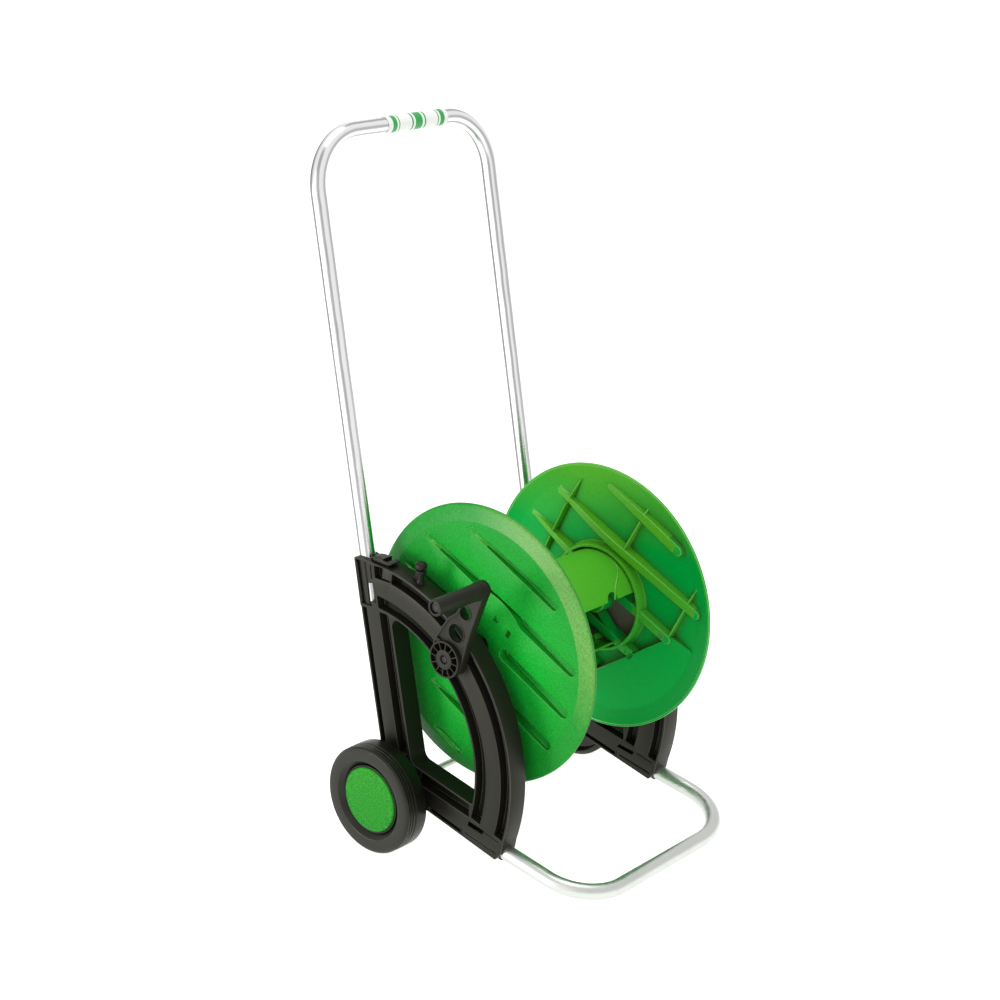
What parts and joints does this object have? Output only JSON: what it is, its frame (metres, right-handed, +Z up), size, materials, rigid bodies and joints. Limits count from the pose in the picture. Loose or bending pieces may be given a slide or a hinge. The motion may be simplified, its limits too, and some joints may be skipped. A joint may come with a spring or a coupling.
{
  "type": "garden hose reel cart",
  "caption": "Hose reel cart: a crank-turned drum between two moulded side frames, on two wheels and a bent-tube foot, with a tall U-shaped push handle.",
  "frame": {"origin": "on the ground under the middle of the cart's bounding box", "axes": "+X along the drum and wheel axles, from the crank side to the water side; -Y is the front, where the foot tube is; +Y the back, where the wheels and handle are; +Z up"},
  "size_m": [0.45, 0.4416, 0.8516],
  "materials": {
    "black_plastic": "satin moulded",
    "black_wheel": "satin moulded",
    "dark_plastic": "satin moulded",
    "green_plastic": "semi gloss moulded",
    "green_cap": "semi gloss moulded, fine grain",
    "bright_steel": "bright zinc plated",
    "white_sleeve": "smooth, with green bands",
    "zinc_steel": "zinc plated",
    "black_steel": "black oxide",
    "white_nylon": "natural",
    "black_rubber": "matt"
  },
  "bodies": {
    "cart": {"side_frame_left": "black_plastic", "side_frame_right": "black_plastic", "nozzle_peg_left": "black_plastic", "nozzle_peg_right": "black_plastic", "hose_clip_left": "black_plastic", "hose_clip_right": "black_plastic", "handle_tube": "bright_steel", "foot_tube": "bright_steel", "handle_sleeve": "white_sleeve", "handle_screw_left": "zinc_steel", "handle_screw_right": "zinc_steel", "foot_screw_left": "zinc_steel", "foot_screw_right": "zinc_steel", "axle_clip_left": "zinc_steel", "axle_clip_right": "zinc_steel", "wheel_axle": "zinc_steel", "drum_bush_left": "white_nylon", "drum_bush_right": "white_nylon", "inlet_clip": "white_nylon", "wheel_spacer_left": "dark_plastic", "wheel_spacer_right": "dark_plastic", "inlet_fitting": "dark_plastic", "inlet_oring": "black_rubber"},
    "drum": {"flange_left": "green_plastic", "flange_right": "green_plastic", "core_shell_upper": "green_plastic", "core_shell_lower": "green_plastic", "core_screw_1": "zinc_steel", "core_screw_2": "zinc_steel", "core_screw_3": "zinc_steel", "core_screw_4": "zinc_steel", "crank_arm": "black_plastic", "crank_screw": "black_steel", "grip_pin": "black_steel", "water_spindle": "black_plastic", "outlet_nut": "black_plastic"},
    "crank_grip": {"crank_grip": "black_plastic"},
    "wheel_left": {"wheel_left": "black_wheel", "hub_cap_left": "green_cap"},
    "wheel_right": {"wheel_right": "black_wheel", "hub_cap_right": "green_cap"}
  },
  "joints": [
    {"name": "drum_spin", "type": "hinge", "parent": "cart", "child": "drum", "pos_m": [0.018, -0.01749, 0.2657], "axis": [1, 0, 0], "continuous": true},
    {"name": "grip_spin", "type": "hinge", "parent": "drum", "child": "crank_grip", "pos_m": [-0.1895, -0.06706, 0.36052], "axis": [1, 0, 0], "continuous": true},
    {"name": "wheel_left_spin", "type": "hinge", "parent": "cart", "child": "wheel_left", "pos_m": [-0.171, 0.08051, 0.0675], "axis": [1, 0, 0], "continuous": true},
    {"name": "wheel_right_spin", "type": "hinge", "parent": "cart", "child": "wheel_right", "pos_m": [0.207, 0.08051, 0.0675], "axis": [1, 0, 0], "continuous": true}
  ]
}
